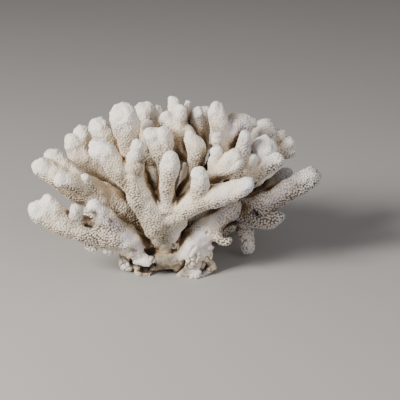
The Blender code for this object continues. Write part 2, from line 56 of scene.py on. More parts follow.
LIMBS = {
    # the fan that leans towards the front, with its finger and its long arm
    "front_fan": {
        "sawn_at": 30,
        "blade": 15,
        "stem": [
            (-3, 12, -6, 10), (-3, 20, -15, 9), (-3.5, 27, -21.5, 11), (-5, 35, -27, 13),
            (-12, 46, -32, 12.5), (-22, 58, -38, 11), (-28, 72, -44, 10), (-29, 86, -47, 8.8),
            (-26.5, 97, -49, 7), (-26, 102, -50, 6.3),
        ],
        "fingers": [
            [(-1, 37, -28, 12.5), (6, 45, -32, 11.3)],
            [(-12, 47, -32, 11), (-4, 50, -34, 9.5), (4, 49.5, -34, 9)],
            [(-22, 62, -40, 10), (-34, 74, -43, 9.5), (-44, 84, -46, 10), (-52, 94, -48, 10),
             (-57, 97.5, -49, 9)],
            [(-56, 97, -46, 7), (-62, 103, -43, 5)],
        ],
    },
    "front_finger": {
        "sawn_at": 27,
        "blade": 9.5,
        "stem": [
            (-2, 46, -31, 10), (-1, 58, -37, 8.5), (-0.5, 68, -42, 6.8), (0.5, 78, -46, 8),
            (1, 86, -48, 8.3), (1.5, 90, -49, 7.4),
        ],
        "fingers": [],
    },
    "front_arm": {
        "sawn_at": 27,
        "blade": 13,
        "stem": [
            (4, 44, -30, 10), (16, 52, -36, 10.5), (28, 58, -40, 10.5), (42, 60.5, -43, 9.5),
            (56, 64, -45, 8.2), (66.5, 68.5, -46, 7.2),
        ],
        "fingers": [
            [(26, 60, -42, 8), (27, 70, -46, 7.4), (27, 77, -48, 7)],
        ],
    },
    # the left side, from the lowest arm to the tall fingers
    "left_low_arm": {
        "sawn_at": 33,
        "blade": 19,
        "stem": [
            (-18, 10, -10, 12), (-30, 18, -18, 12.5), (-40, 25, -24, 13), (-52, 29, -27, 13),
            (-66, 31, -30, 11.5), (-80, 33, -32, 11.5), (-92, 37, -34, 10.5), (-102, 42, -36, 9.2),
            (-110.5, 46, -37, 8.7),
        ],
        "fingers": [
            [(-88, 39, -34, 8), (-97, 48, -36, 7.8), (-102, 55, -37, 6.8)],
            [(-78, 41, -35, 6), (-78.5, 48, -37, 4.6)],
            [(-49, 33, -29, 10), (-56, 43, -33, 9), (-62.5, 50.5, -36, 6)],
            [(-64, 26, -28, 7), (-65.5, 17, -27, 5.6)],
            [(-51, 22, -25, 7), (-50.5, 15, -25, 5.5)],
        ],
    },
    "left_arm": {
        "sawn_at": 50,
        "blade": 16,
        "stem": [
            (-16, 24, 8, 13), (-28, 38, 8, 12.5), (-42, 50, 5, 13), (-56, 58, 0, 13.5),
            (-70, 64, -6, 13.5), (-83, 70.5, -11, 12), (-96, 78, -15, 9.8), (-107.5, 84, -18, 8),
        ],
        "fingers": [
            [(-72, 68, -14, 9), (-83, 72, -23, 8), (-90, 73.5, -28, 6.6)],
            [(-60, 64, -8, 8), (-67, 72, -17, 5.5), (-70, 75, -20, 4.2)],
            [(-80, 74, -7, 10), (-90, 84, -5, 9.8), (-96.5, 91, -4, 8.8)],
        ],
    },
    "left_upper_arm": {
        "sawn_at": 56,
        "blade": 15,
        "stem": [
            (-14, 34, 18, 12), (-30, 52, 27, 12), (-46, 70, 32, 12), (-62, 84, 32, 12.5),
            (-73, 95, 29, 12), (-79.5, 103, 26, 9.6),
        ],
        "fingers": [
            [(-73, 98, 29, 9), (-73.5, 108, 30, 8), (-73.5, 113, 31, 7.4)],
        ],
    },
    "left_tall_finger": {
        "sawn_at": 57,
        "blade": 11.5,
        "stem": [
            (-12, 44, 16, 10), (-26, 68, 14, 9.5), (-40, 90, 11, 9), (-50, 105, 8, 9),
            (-58, 117.5, 6, 9),
        ],
        "fingers": [],
    },
    "club_finger": {
        "sawn_at": 55,
        "blade": 12.5,
        "stem": [
            (-10, 40, 4, 11), (-20, 62, -2, 10), (-28, 84, -8, 9), (-32.5, 102, -12, 9.2),
            (-35, 114, -14, 10.8), (-38, 126, -15, 12.6),
        ],
        "fingers": [
            [(-33, 108, -11.5, 8.2), (-33, 122, -12, 9)],
        ],
    },
    # the middle, from the club behind to the fingers beside the leaning column
    "rear_club": {
        "sawn_at": 46,
        "blade": 12,
        "stem": [
            (-8, 44, 22, 11), (-13, 68, 27, 10), (-17, 92, 30, 9), (-20, 114, 31, 9),
            (-21, 129, 31, 10.8),
        ],
        "fingers": [
            [(-16, 112, 31, 7), (-11, 124, 33, 6), (-8.5, 132, 34, 5)],
            [(-15, 90, 26, 7), (-17, 106, 20, 6), (-17, 119.5, 15, 5.8)],
        ],
    },
    "toothed_fork": {
        "sawn_at": 47,
        "blade": 11,
        "stem": [
            (-2, 40, 2, 10), (-2.5, 60, -4, 8.5), (-2, 78, -9, 7.2), (-3, 90, -13, 7.8),
            (-8, 102, -17, 9), (-14, 111, -19, 7.2),
        ],
        "fingers": [
            [(-5, 100, -15, 8.4), (-3, 107, -18, 7.8), (-3.5, 112, -19, 7)],
            [(-8, 103, -16, 7.5), (-9.5, 111, -18, 6.6)],
        ],
    },
    "leaning_column": {
        "sawn_at": 50,
        "blade": 10,
        "stem": [
            (8, 42, 4, 11), (16, 60, 1, 9.5), (22, 74, -3, 7), (23, 84, -7, 6.4), (23.5, 93, -11, 7.2),
            (24, 100, -13, 8.6), (20.5, 107.5, -14, 6.4), (18.5, 111.5, -14, 4),
        ],
        "fingers": [
            [(22, 91, -8, 6.5), (15, 96, 1, 7.2), (11.5, 106, 3, 7.8), (9, 117, 1, 8.2),
             (-1, 125, 1, 6.8)],
            [(20, 103, 0, 6), (16, 114, 0, 7)],
            [(10, 116, 3, 8), (7, 126, 6, 7), (5, 134, 8, 5.6), (4, 140.5, 9, 4.9)],
            [(9, 120, 2, 7), (10.5, 131.5, 5, 5.2)],
        ],
    },
    "paired_fingers": {
        "sawn_at": 46,
        "blade": 12,
        "stem": [
            (10, 46, 22, 11), (17, 64, 27, 9.5), (22, 82, 27, 9), (25, 98, 21, 8),
            (25.5, 114, 16, 6.5), (25, 129.5, 13, 6),
        ],
        "fingers": [
            [(22, 94, 24, 6.5), (18, 108, 23, 5.4), (17, 122, 22, 4.8), (17, 138, 22, 4)],
            [(25, 92, 25, 6.5), (29, 104, 28, 5.6), (30.5, 116, 29, 5), (31, 132, 29, 4.8)],
        ],
    },
    # the right side, from the webbed limbs to the low arm with its hanging spur
    "web_limb": {
        "sawn_at": 64,
        "blade": 11,
        "stem": [
            (14, 46, 13, 11), (27, 64, 9, 10), (39, 82, 5.5, 9.3), (45, 98, 2, 9.3), (45, 112, 2, 9),
            (43, 124, 1, 8), (41, 132, 0, 6.2),
        ],
        "fingers": [
            [(46, 106, 4, 9.5), (56, 118, 9, 10.8), (65, 121, 12, 8.5), (70.5, 121.5, 13, 5.5)],
            [(45, 102, 4, 9), (54, 109, 9, 7.5), (62, 115, 12, 6.5)],
            [(42, 98, -4, 5.5), (42, 108, -9, 4.4), (42, 112, -10, 4.2)],
        ],
    },
    "leaf_fork": {
        "sawn_at": 41,
        "blade": 11,
        "stem": [
            (14, 46, -4, 10), (26, 60, -13, 9.5), (36, 72, -20, 8.5), (45, 82, -24, 8.2),
            (52, 90, -26, 7.5), (56, 94, -27, 6.3),
        ],
        "fingers": [
            [(46, 80, -24, 8), (56, 86, -26, 7), (59, 88, -27, 5.2)],
            [(40, 77, -22, 6), (40, 86, -24, 5), (41.5, 97.5, -25, 4.3)],
        ],
    },
    "right_arm": {
        "sawn_at": 54,
        "blade": 13,
        "stem": [
            (16, 40, 14, 11.5), (34, 54, 18.5, 10.5), (50, 67, 19.5, 10), (64, 75, 14, 10.5),
            (75, 84, 9, 11), (81, 95, 6, 11), (82, 100, 5, 11),
        ],
        "fingers": [
            [(58, 74, 12, 7.5), (62, 90, -2, 6.2), (64.5, 104, -7, 5.4), (66, 112, -9, 4.8)],
            [(68, 80, 0, 5.5), (71, 88, -4, 4), (72, 92, -5, 3.3)],
            [(74, 80, 2, 9), (84, 86, -2, 7), (92, 90, -4, 6.2)],
        ],
    },
    "right_rear_arm": {
        "sawn_at": 60,
        "blade": 13.5,
        "stem": [
            (14, 42, 26, 11.5), (34, 58, 36, 11), (52, 76, 42, 11), (68, 94, 42, 10),
            (78, 108, 41, 9.5), (82, 115, 40, 9.8),
        ],
        "fingers": [
            [(76, 98, 41, 8), (88, 107, 42, 7), (95, 110.5, 42, 6)],
            [(72, 88, 40, 8), (86, 94, 38, 7), (98, 98, 35, 6.5), (103, 104, 34, 5.5)],
            [(96, 95, 35, 6), (104, 97.5, 34, 5.2)],
        ],
    },
    "right_low_arm": {
        "sawn_at": 54,
        "blade": 15,
        "stem": [
            (16, 24, 8, 12.5), (34, 32, 10, 12), (50, 40, 9, 11.5), (64, 46, 8, 11.5), (75, 52, 6, 11),
        ],
        "fingers": [
            [(66, 48, 12, 9), (80, 61, 14, 7.5), (93, 71.5, 15, 7), (101, 77, 15, 6.5)],
            [(72, 50, 4, 10.5), (86, 56, -2, 9.8), (100, 63, -7, 9.2), (113, 70.5, -11, 8.6),
             (120.5, 75.5, -13, 8.4)],
            [(68, 44, 4.5, 9.8), (79, 41, -1, 9.8), (88, 41, -3, 7.8), (93.5, 41.5, -4, 5)],
            [(62, 38, 14, 8.5), (66.5, 26, 17, 6.2), (68.2, 15.5, 18, 5.4)],
        ],
    },
    # the back, lower than the front so that the crown stays a low dome
    "back_left_arm": {
        "sawn_at": 46,
        "blade": 14,
        "stem": [
            (-10, 33, 28, 11), (-27, 49, 46, 10.5), (-46, 64, 60, 10), (-64, 75, 67, 9.5),
            (-76, 80, 69, 8.5),
        ],
        "fingers": [
            [(-54, 67, 63, 9), (-57, 80, 74, 8), (-59, 91, 80, 7)],
            [(-50, 65, 63, 9), (-45, 70, 77, 8.5), (-43, 78, 88, 7.5)],
            [(-64, 71, 66, 8), (-72, 74, 80, 7), (-76, 79, 86, 6)],
            [(-45, 69, 76, 7), (-34, 74, 82, 6.5), (-28, 81, 87, 5.5)],
        ],
    },
    "back_middle_arm": {
        "sawn_at": 37,
        "blade": 14,
        "stem": [
            (0, 30, 30, 11), (0, 46, 50, 10.5), (2, 62, 70, 10), (4, 76, 84, 9), (4, 86, 90, 8),
        ],
        "fingers": [
            [(2, 62, 71, 9), (14, 60, 83, 8), (20, 63, 96, 7)],
            [(1, 63, 72, 8.5), (-10, 67, 85, 7.5), (-14, 72, 95, 6.5)],
            [(14, 59, 82, 7), (7, 55, 94, 6.5), (4, 56, 103, 6)],
        ],
    },
    "back_right_arm": {
        "sawn_at": 46,
        "blade": 13,
        "stem": [
            (14, 33, 28, 11), (31, 47, 48, 10.5), (44, 58, 61, 10), (57, 70, 67, 9.5), (70, 81, 68, 8),
        ],
        "fingers": [
            [(57, 68, 66, 9), (58, 79, 78, 8), (58, 88, 84, 7)],
            [(55, 65, 65, 9), (48, 66, 80, 8), (43, 72, 91, 7)],
            [(62, 71, 67, 7.5), (71, 71, 80, 6.5), (74, 72, 88, 5.8)],
            [(47, 67, 81, 7), (37, 71, 87, 6), (32, 78, 90, 5.5)],
        ],
    },
    "back_left_low_arm": {
        "sawn_at": 38,
        "blade": 13.5,
        "stem": [
            (-12, 19, 24, 12), (-26, 26.5, 44, 10), (-42, 34, 62, 10), (-56, 41, 74, 9), (-64, 46, 80, 8),
        ],
        "fingers": [
            [(-46, 37, 66, 8.5), (-39, 41, 83, 7.5), (-35, 47, 96, 6.5)],
            [(-54, 43, 72, 8), (-54, 51, 81, 7), (-53, 59, 86, 6)],
            [(-39, 43, 82, 6.5), (-26, 44, 91, 6), (-18, 46, 97, 5.2)],
        ],
    },
    "back_right_low_arm": {
        "sawn_at": 40,
        "blade": 13,
        "stem": [
            (12, 19, 24, 12), (28, 26, 44, 10), (44, 33, 62, 9.5), (56, 40, 74, 9), (64, 45, 82, 8),
        ],
        "fingers": [
            [(46, 35, 66, 8.5), (40, 40, 83, 7.5), (37, 46, 96, 6.5)],
            [(54, 42, 72, 7.5), (61, 50, 78, 6.3), (65, 55, 82, 5.5)],
            [(41, 41, 81, 6.5), (29, 43, 89, 6), (23, 45, 95, 5.2)],
        ],
    },
    "back_crown": {
        "sawn_at": 27,
        "blade": 13,
        "stem": [
            (0, 50, 32, 11), (-3, 66, 45, 9.5), (-8, 80, 54, 10), (-16, 93, 59, 9), (-26, 107, 60, 8),
        ],
        "fingers": [
            [(-9, 83, 56, 9), (9, 95, 62, 8.5), (22, 107, 65, 7.5)],
            [(-10, 86, 57, 8), (-5, 102, 60, 7), (-5, 115, 57, 6.5)],
            [(-14, 91, 59, 7.5), (-21, 94, 74, 7), (-27, 99, 80, 6)],
            [(9, 95, 62, 7.5), (13, 97, 77, 7), (15, 102, 85, 6)],
            [(12, 98, 63, 7), (30, 104, 66, 6.5), (41, 110, 66, 5.8)],
        ],
    },
}

# The encrusted foot: its core, the lumps of its left side, those of its right side, and a low spur.
HOLDFAST = [
    [(0, 10, 6, 17), (-2, 22, 4, 17), (0, 36, 8, 15)],
    [(-26, 8, 0, 13), (-14, 14, 20, 13)],
    [(12, 14, 22, 14), (24, 10, -2, 13)],
    [(0, 18, 34, 14), (0, 21, 46, 10)],
    [(-22, 5, -11, 10), (-14, 5, -9, 10)],
    [(-24, 4, -21, 7), (-17, 4.5, -22, 7.4)],
    [(-33, 4, -10, 8), (-34, 12, -6, 8)],
    [(-23, -5.5, -17, 5.5), (-17, -7, -18, 5)],
    [(-5.5, 7, -16, 9.5), (4, 7.5, -16, 9.5)],
    [(-13, 17, -16, 4), (-4, 18.5, -21, 3.2), (6, 18.5, -21, 3.6)],
    [(20, 0, -16, 12), (18, 11, -17, 12)],
    [(28, 4, -15, 8), (31, 14, -18, 7.5), (34.5, 17, -20, 5.4)],
    [(23, -6, -23, 6), (35, -1, -15, 5.5)],
    [(11, -4, -18, 7), (15, 2, -16, 8)],
    [(20, 10, -18, 13), (21.5, 19.5, -18, 12.5), (32, 29.5, -17, 11), (44, 39.5, -16, 9),
     (54, 47, -15, 7.5), (57, 49, -15, 6)],
    [(38, 30, -19, 8), (46, 24, -22, 6), (50, 22.5, -23, 4.6)],
]

# The front fan's trunk is flat and wide at its root. These tubes widen the skin there, and no limb's
# path counts them.
TRUNK_SIDES = [
    [(-7.5, 23, -19, 7.5), (-12, 33, -26, 8.6), (-16, 42, -31, 9), (-22, 52, -36, 9)],
    [(1, 23, -19, 7.5), (4.5, 33, -26, 8.6), (8, 40, -30, 8.5)],
]

# Limbs whose stems spring from another limb, not from the foot.
SPRINGS_FROM = {"front_finger": "front_fan", "front_arm": "front_fan"}

# Sizes of the surface, in millimetres.
PATH_STEP = 1.5
PROFILE_SIDES = 24
SKIN_VOXEL = 0.62
MELT_PASSES = 14
GRAIN_GAP = 1.6
GRAIN_HEIGHT = 0.62
CRUST_GAP = 4.0

# The soft lumps, each as how far apart they are and how high.
LUMPS = [(16.0, 1.7), (7.5, 1.2)]

# How far apart the samples along a finger are, how near another finger's surface hides an end, and
# what is added to the distance to the tip of a finger that has none.
SAMPLE_STEP = 2.0
BURIED = 1.0
NO_TIP = 99.0

# How many points are measured against all samples at a time.
BATCH = 16384

# The skin is thinned on limbs behind BACK_STARTS, to BACK_SHARE of its triangles, and on any limb of
# more than MOST_FACES faces, to MOST_TRIANGLES.
MOST_FACES = 95000
MOST_TRIANGLES = 190000
BACK_STARTS = 45.0
BACK_SHARE = 0.6

# Where a tint or a relief begins and where it is full or gone, in millimetres.
FRONT_FADES = 5.0
TIP_FADES = (0.0, 12.0)
CLOSED_RISES = (-10.0, 28.0)
LOW_FADES = (30.0, 75.0)
CRUST_FADES = (18.0, 36.0)
CRUST_RISES = (-30.0, -5.0)
FOOT_FADES = (20.0, 50.0)
RIGHT_RISES = (44.0, 62.0)
RIGHT_FADES_UP = (56.0, 76.0)
RIGHT_FADES_BACK = (25.0, 45.0)
LOW_ARM_RISES = (60.0, 105.0)
FAR_RIGHT_RISES = (74.0, 92.0)

FORWARD = np.array([0.0, math.cos(VIEW_TILT), -math.sin(VIEW_TILT)])
UPWARD = np.array([0.0, math.sin(VIEW_TILT), math.cos(VIEW_TILT)])
RIGHTWARD = np.array([1.0, 0.0, 0.0])
EYE = VIEW_MIDDLE[0] * RIGHTWARD + VIEW_MIDDLE[1] * UPWARD - EYE_DISTANCE * FORWARD


def real_points(layout_points):
    """Rows (x, y, z, radius) in millimetres: each layout point slid along its sight line to its depth."""
    rows = np.asarray(layout_points, float)
    shown = rows[:, :1] * RIGHTWARD + rows[:, 1:2] * UPWARD
    reach = ((rows[:, 2] - EYE[1]) / (shown[:, 1] - EYE[1]))[:, None]
    return np.hstack([EYE + reach * (shown - EYE), rows[:, 3:] * reach])


def smooth_path(layout_points, step=PATH_STEP):
    """Rows (x, y, z, radius) along a Catmull-Rom curve through the points.

    Between two points, with t from 0 to 1, a row is the half sum of 2 p1, (p2 - p0) t,
    (2 p0 - 5 p1 + 4 p2 - p3) t^2 and (3 p1 - p0 - 3 p2 + p3) t^3.
    """
    rows = real_points(layout_points)
    knots = np.vstack([2 * rows[0] - rows[1], rows, 2 * rows[-1] - rows[-2]])
    pieces = []
    for before, start, end, after in zip(knots, knots[1:], knots[2:], knots[3:]):
        count = max(2, round(np.linalg.norm((end - start)[:3]) / step))
        t = np.linspace(0, 1, count, endpoint=False)[:, None]
        bend = 2 * before - 5 * start + 4 * end - after
        turn = 3 * start - before - 3 * end + after
        pieces.append(start + 0.5 * (t * (end - before) + t**2 * bend + t**3 * turn))
    return np.vstack(pieces + [rows[-1:]])


def travelled(path):
    """How far along the path each of its rows lies."""
    steps = np.linalg.norm(np.diff(path[:, :3], axis=0), axis=1)
    return np.concatenate([[0], np.cumsum(steps)])


def unit(vectors):
    """The vectors at length 1."""
    return vectors / np.maximum(np.linalg.norm(vectors, axis=-1, keepdims=True), 1e-9)


def finger_tube(path):
    """Vertices and faces of a round tube with round ends: a circle carried along the path.

    Its rings are centre + radius (cos a u + sin a v), with u and v square to the path. The end rings
    follow a ball: at an angle b past the end, the ring is radius sin b further on and radius cos b
    wide, and one point closes it.
    """
    heading = unit(np.gradient(path[:, :3], axis=0))
    centre, radius = path[:, :3], path[:, 3]
    past = np.radians([15, 30, 45, 60, 75])
    for end, order in ((0, slice(None, None, -1)), (-1, slice(None))):
        sign = -1 if end == 0 else 1
        ball = centre[end] + sign * radius[end] * np.sin(past)[order, None] * heading[end]
        width = radius[end] * np.cos(past)[order]
        same = np.repeat(heading[end][None], len(past), axis=0)
        if end == 0:
            centre, radius = np.vstack([ball, centre]), np.append(width, radius)
            heading = np.vstack([same, heading])
        else:
            centre, radius = np.vstack([centre, ball]), np.append(radius, width)
            heading = np.vstack([heading, same])
    axis = np.eye(3)[np.argmin(np.abs(heading).max(axis=0))]
    across = unit(np.cross(heading, axis))
    along = np.cross(heading, across)
    angle = np.linspace(0, 2 * np.pi, PROFILE_SIDES, endpoint=False)[None, :, None]
    spokes = np.cos(angle) * across[:, None] + np.sin(angle) * along[:, None]
    rings = centre[:, None] + radius[:, None, None] * spokes
    count = len(centre)
    first = path[0, :3] - path[0, 3] * heading[0]
    last = path[-1, :3] + path[-1, 3] * heading[-1]
    vertices = np.vstack([rings.reshape(-1, 3), first, last])
    corner = np.arange(count * PROFILE_SIDES).reshape(count, PROFILE_SIDES)
    beside = np.roll(corner, -1, axis=1)
    quads = np.stack([corner[:-1], beside[:-1], beside[1:], corner[1:]], axis=-1).reshape(-1, 4)
    poles = np.full(PROFILE_SIDES, count * PROFILE_SIDES)
    first_cap = np.stack([beside[0], corner[0], poles], axis=-1)
    last_cap = np.stack([corner[-1], beside[-1], poles + 1], axis=-1)
    return vertices, quads, np.vstack([first_cap, last_cap])


def new_mesh(name, vertices, *faces):
    """A mesh from an array of vertices in millimetres and arrays of quads or triangles."""
    mesh = bpy.data.meshes.new(name)
    mesh.vertices.add(len(vertices))
    mesh.vertices.foreach_set("co", (vertices * MM).astype(np.float32).ravel())
    corners = np.concatenate([part.ravel() for part in faces])
    counts = np.concatenate([np.full(len(part), part.shape[1]) for part in faces])
    mesh.loops.add(len(corners))
    mesh.loops.foreach_set("vertex_index", corners.astype(np.int32))
    mesh.polygons.add(len(counts))
    starts = np.concatenate([[0], np.cumsum(counts)[:-1]])
    mesh.polygons.foreach_set("loop_start", starts.astype(np.int32))
    mesh.update(calc_edges=True)
    return mesh


def melted_skin(paths):
    """Vertices, normals and quads of the tubes melted into one closed skin."""
    parts, quads, caps, base = [], [], [], 0
    for path in paths:
        vertices, sides, ends = finger_tube(path)
        parts.append(vertices)
        quads.append(sides + base)
        caps.append(ends + base)
        base += len(vertices)
    every_tube = new_mesh("tubes", np.vstack(parts), np.vstack(quads), np.vstack(caps))
    tubes = bpy.data.objects.new("tubes", every_tube)
    bpy.context.collection.objects.link(tubes)
    melt = tubes.modifiers.new("melt", "REMESH")
    melt.mode = "VOXEL"
    melt.voxel_size = SKIN_VOXEL * MM
    soften = tubes.modifiers.new("soften", "SMOOTH")
    soften.factor = 0.5
    soften.iterations = MELT_PASSES
    evaluated = tubes.evaluated_get(bpy.context.evaluated_depsgraph_get())
    mesh = evaluated.to_mesh()
    vertices = np.empty(len(mesh.vertices) * 3, np.float32)
    mesh.vertices.foreach_get("co", vertices)
    normals = np.empty_like(vertices)
    mesh.vertices.foreach_get("normal", normals)
    quads = np.empty(len(mesh.loops), np.int32)
    mesh.loops.foreach_get("vertex_index", quads)
    assert len(quads) == 4 * len(mesh.polygons)
    evaluated.to_mesh_clear()
    bpy.data.objects.remove(tubes)
    return vertices.reshape(-1, 3) / MM, normals.reshape(-1, 3), quads.reshape(-1, 4)


def ripple(points, size, seed):
    """Smooth noise from about -1 to 1 whose hills are size apart: random slopes on a lattice, blended."""
    slopes = unit(np.random.default_rng(seed).normal(size=(32, 32, 32, 3)).astype(np.float32))
    place = points / size
    cell = np.floor(place).astype(int)
    part = (place - cell).astype(np.float32)
    fade = part**3 * (part * (part * 6 - 15) + 10)
    total = np.zeros(len(points), np.float32)
    for corner in np.ndindex(2, 2, 2):
        at = (cell + corner) % 32
        slope = slopes[at[:, 0], at[:, 1], at[:, 2]]
        weight = np.prod(np.where(corner, fade, 1 - fade), axis=1)
        total += weight * ((part - corner) * slope).sum(axis=1)
    return 1.6 * total


def ramp(values, low, high):
    """0 at low, 1 at high, with a smooth rise between."""
    t = np.clip((values - low) / (high - low), 0, 1)
    return t * t * (3 - 2 * t)


class Sieve:
    """Points sorted into cubes of side gap / sqrt 3, so that points a gap apart never share a cube."""

    def __init__(self, points, gap):
        self.size = gap / math.sqrt(3)
        self.low = points.min(axis=0) - 3 * self.size
        self.shape = np.ceil((points.max(axis=0) - self.low) / self.size).astype(int) + 4
        self.steps = [step for step in np.ndindex(5, 5, 5) if self.near(step)]

    @staticmethod
    def near(step):
        """Whether a cube this many steps away, less two, can hold a point within a gap."""
        return np.maximum(np.abs(np.array(step) - 2) - 1, 0) @ np.ones(3) < 3

    def cube(self, points):
        """The number of the cube that each point lies in."""
        at = np.floor((points - self.low) / self.size).astype(int)
        return np.ravel_multi_index(tuple(at.T), self.shape)

    def shifts(self):
        """How far the number of each cube that may hold a near point lies from a cube's own."""
        strides = (self.shape[1] * self.shape[2], self.shape[2], 1)
        return [np.dot(np.array(step) - 2, strides) for step in self.steps]


def strewn(points, gap, rng):
    """Evenly strewn picks from the points, none nearer than gap to another.

    One point of each cube is a candidate with a random rank. In turns, each candidate that outranks
    all others within gap of it is picked, and those others drop out.
    """
    sieve = Sieve(points, gap)
    cubes = sieve.cube(points)
    order = rng.permutation(len(points))
    _, first = np.unique(cubes[order], return_index=True)
    chosen = order[first]
    place, home = points[chosen], cubes[chosen]
    rank = rng.random(len(chosen))
    holder = np.full(np.prod(sieve.shape), -1)
    picked = np.zeros(len(chosen), bool)
    open_ones = np.arange(len(chosen))
    holder[home] = np.arange(len(chosen))
    while len(open_ones):
        best = np.ones(len(open_ones), bool)
        for shift in sieve.shifts():
            other = holder[home[open_ones] + shift]
            rival = (other >= 0) & (other != open_ones)
            apart = ((place[open_ones] - place[other]) ** 2).sum(axis=1)
            best &= ~(rival & (apart < gap * gap) & (rank[other] > rank[open_ones]))
        winners = open_ones[best]
        picked[winners] = True
        rank[winners] = 2
        beaten = np.zeros(len(chosen), bool)
        for shift in sieve.shifts():
            other = holder[home[winners] + shift]
            close = ((place[winners] - place[other]) ** 2).sum(axis=1) < gap * gap
            beaten[other[(other >= 0) & (other != winners) & close]] = True
        open_ones = open_ones[~best & ~beaten[open_ones]]
        holder[home[beaten & ~picked]] = -1
    return place[picked], sieve


def nearest_two(points, seeds, sieve):
    """The distances from each point to the nearest and the second nearest seed."""
    holder = np.full(np.prod(sieve.shape), -1)
    holder[sieve.cube(seeds)] = np.arange(len(seeds))
    home = sieve.cube(points)
    first = np.full(len(points), 9.0 * sieve.size)
    second = first.copy()
    for shift in sieve.shifts():
        other = holder[home + shift]
        apart = np.where(other >= 0, np.linalg.norm(points - seeds[other], axis=1), 9.0 * sieve.size)
        second = np.minimum(second, np.maximum(first, apart))
        first = np.minimum(first, apart)
    return first, second


def limb_samples():
    """Rows (x, y, z, radius, limb, along, to_tip) on every finger; the foot's are limb -1.

    A finger whose end lies inside another one has no tip, and its to_tip is far.
    """
    paths = []
    for number, limb in enumerate(LIMBS.values()):
        stem = smooth_path(limb["stem"], SAMPLE_STEP)
        along = travelled(stem)
        paths.append((stem, number, along))
        for finger in limb["fingers"]:
            path = smooth_path(finger, SAMPLE_STEP)
            root = along[np.argmin(np.linalg.norm(stem[:, :3] - path[0, :3], axis=1))]
            paths.append((path, number, np.full(len(path), root)))
    paths += [(smooth_path(lump, SAMPLE_STEP), -1, None) for lump in HOLDFAST]
    rows = []
    for path, number, along in paths:
        to_tip = travelled(path)[-1] - travelled(path)
        end = path[-1, :3] + path[-1, 3] * unit(path[-1, :3] - path[-2, :3])
        others = np.vstack([other for other, _, _ in paths if other is not path])
        buried = (np.linalg.norm(others[:, :3] - end, axis=1) - others[:, 3]).min() < BURIED
        if number < 0 or buried:
            to_tip = to_tip + NO_TIP
        along = np.zeros(len(path)) if along is None else along
        rows.append(np.column_stack([path, np.full(len(path), number), along, to_tip]))
    return np.vstack(rows)


def nearest_samples(points, samples):
    """For each point, the sample whose tube surface is nearest."""
    found = np.empty(len(points), int)
    centres = samples[:, :3].astype(np.float32)
    radius = samples[:, 3].astype(np.float32)
    squares = (centres**2).sum(axis=1)
    for start in range(0, len(points), BATCH):
        part = points[start:start + BATCH].astype(np.float32)
        apart = (part**2).sum(axis=1)[:, None] + squares - 2 * part @ centres.T
        found[start:start + BATCH] = np.argmin(np.sqrt(np.maximum(apart, 0)) - radius, axis=1)
    return found


def limb_of_points(points, samples, nearest):
    """The limb number of each point, -1 on the foot, with flat cuts where the blades pass."""
    names = list(LIMBS)
    cuts = np.array([LIMBS[name]["sawn_at"] for name in names])
    parents = np.array([names.index(SPRINGS_FROM[n]) if n in SPRINGS_FROM else -1 for n in names])
    limb = samples[nearest, 4].astype(int)
    sawn_off = samples[nearest, 5] >= cuts[limb]
    limb = np.where((limb >= 0) & ~sawn_off, parents[limb], limb)
    for number, name in enumerate(names):
        stem = smooth_path(LIMBS[name]["stem"])
        at = [np.interp(cuts[number], travelled(stem), column) for column in stem.T]
        index = np.searchsorted(travelled(stem), cuts[number])
        heading = unit(stem[index, :3] - stem[index - 1, :3])
        offset = points - np.array(at[:3])
        near = np.linalg.norm(offset, axis=1) < LIMBS[name]["blade"]
        beyond = offset @ heading > 0
        limb = np.where(near & beyond & (limb == parents[number]), number, limb)
        limb = np.where(near & ~beyond & (limb == number), parents[number], limb)
    return limb


# Marks on the front of the skin, as the front view shows them. A hollow is a line of (across, up) points
# worn in to a depth within a radius, and the deeper hollows are also darkened as painted shade. Nothing is
# marked behind MARK_DEPTH.
HOLLOWS = [
    # the dark hole, the brown hollow and the pit of the lowest left arm
    (2.6, 5.0, [(-69, 36), (-65, 34.5)]), (3.6, 2.5, [(-63, 43), (-62, 43)]),
    (2.0, 2.2, [(-48, 39), (-47, 38)]),
    # the crack below the block at the foot's left, and the cracks beside and above it
    (1.5, 4.5, [(-32, 5), (-30.5, 0), (-26, -1.5), (-22, -3.5), (-15, -2.5), (-11, 1)]),
    (2.4, 4.5, [(-17, 13), (-13, 12)]), (1.8, 2.2, [(-31, 13), (-27, 12)]),
    # the slot below the foot's middle and the small holes in its right side
    (1.7, 4.5, [(-13, -8), (-5, -9), (4, -7.5), (7.5, -4.5), (12, 0), (13, 3)]),
    (1.3, 2.6, [(4, 12), (4, 13)]), (1.3, 2.6, [(4, 18), (5, 17)]), (1.2, 2.2, [(33, 29), (33, 28)]),
    (1.2, 2.2, [(24, 9), (24, 8)]), (1.6, 3.4, [(35, 1), (32, -3), (30, -7)]),
    (1.4, 2.6, [(29, -3), (33, -5)]),
    # flutes down the right side of the foot
    (1.1, 1.2, [(22, 16), (18, 9)]), (1.1, 1.2, [(27, 14), (23, 4)]), (1.0, 1.0, [(30, 9), (27, 1)]),
    # the cavity under the right arms and the pits of the far right fingers
    (4.0, 6.0, [(50, 28), (57, 34)]), (2.6, 3.0, [(97, 102), (97, 101)]), (2.2, 3.0, [(72, 46), (75, 44)]),
]
